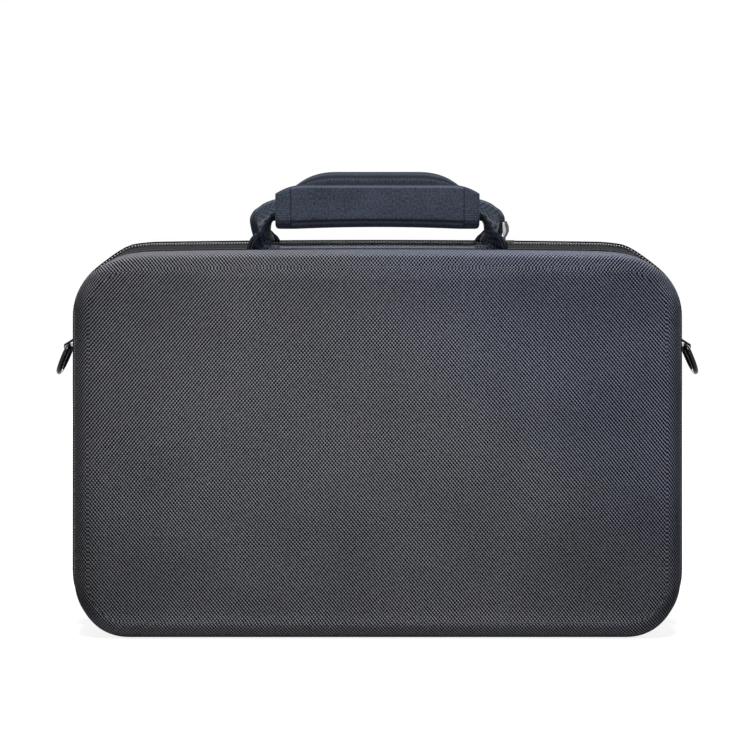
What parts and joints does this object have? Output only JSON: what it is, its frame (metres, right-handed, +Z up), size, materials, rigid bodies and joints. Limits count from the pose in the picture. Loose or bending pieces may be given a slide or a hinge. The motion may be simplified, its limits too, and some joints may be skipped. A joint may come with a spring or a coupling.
{
  "type": "console carrying case",
  "caption": "Zipped hard-shell carrying case for a games console, with a padded grip on two webbing straps and a shoulder-strap ring on either side.",
  "frame": {"origin": "under the middle of the bottom, on the surface the case stands on", "axes": "+Z up, +X to the right of someone facing the lid, the lid's panel faces -Y"},
  "size_m": [0.4636, 0.14, 0.323],
  "materials": {
    "shell_cloth": "woven, matt",
    "zip_tape": "woven tape, matt",
    "zip_coil": "satin",
    "binding_tape": "woven tape, matt",
    "webbing": "ribbed webbing, satin",
    "grip_cloth": "smooth knit over foam, matt",
    "hook_tape": "hook and loop, matt",
    "ring_metal": "black, glossy",
    "slider_metal": "black, satin",
    "net": "open net, matt",
    "elastic": "woven elastic, matt"
  },
  "bodies": {
    "case_back": {"rear_shell": "shell_cloth", "rear_zip_tape": "zip_tape", "rear_zip_coil": "zip_coil", "rear_rim_binding": "binding_tape", "hinge_gusset": "binding_tape", "rear_handle_strap": "webbing", "rear_grip_pad": "grip_cloth", "grip_hook_strip": "hook_tape", "ring_tab_left": "webbing", "ring_tab_right": "webbing", "hold_down_left": "elastic", "hold_down_right": "elastic", "zip_slider_left": "slider_metal"},
    "lid": {"front_shell": "shell_cloth", "front_zip_tape": "zip_tape", "front_zip_coil": "zip_coil", "front_rim_binding": "binding_tape", "front_handle_strap": "webbing", "front_grip_pad": "grip_cloth", "grip_loop_strip": "hook_tape", "lid_pocket_mesh": "net", "lid_pocket_hem": "elastic"},
    "ring_left": {"d_ring_left": "ring_metal"},
    "pull_left": {"zip_pull_left": "slider_metal"},
    "ring_right": {"d_ring_right": "ring_metal"},
    "slider_right": {"zip_slider_right": "slider_metal"},
    "pull_right": {"zip_pull_right": "slider_metal"}
  },
  "joints": [
    {"name": "lid_hinge", "type": "hinge", "parent": "case_back", "child": "lid", "pos_m": [0, 0, -0.0005], "axis": [1, 0, 0], "range_deg": [0, 180], "deforming": ["hinge_gusset"]},
    {"name": "ring_left_swing", "type": "hinge", "parent": "case_back", "child": "ring_left", "pos_m": [-0.222, 0.024, 0.199], "axis": [0, 1, 0], "range_deg": [0, 120]},
    {"name": "pull_left_swing", "type": "hinge", "parent": "case_back", "child": "pull_left", "pos_m": [0.084, 0, 0.2769], "axis": [0, 1, 0], "range_deg": [0, 10]},
    {"name": "ring_right_swing", "type": "hinge", "parent": "case_back", "child": "ring_right", "pos_m": [0.222, 0.024, 0.199], "axis": [0, -1, 0], "range_deg": [0, 120]},
    {"name": "slider_right_travel", "type": "slide", "parent": "case_back", "child": "slider_right", "axis": [1, 0, 0], "range_m": [0, 0.07]},
    {"name": "pull_right_swing", "type": "hinge", "parent": "slider_right", "child": "pull_right", "pos_m": [0.09, 0, 0.2769], "axis": [0, 1, 0], "range_deg": [0, 40]}
  ]
}
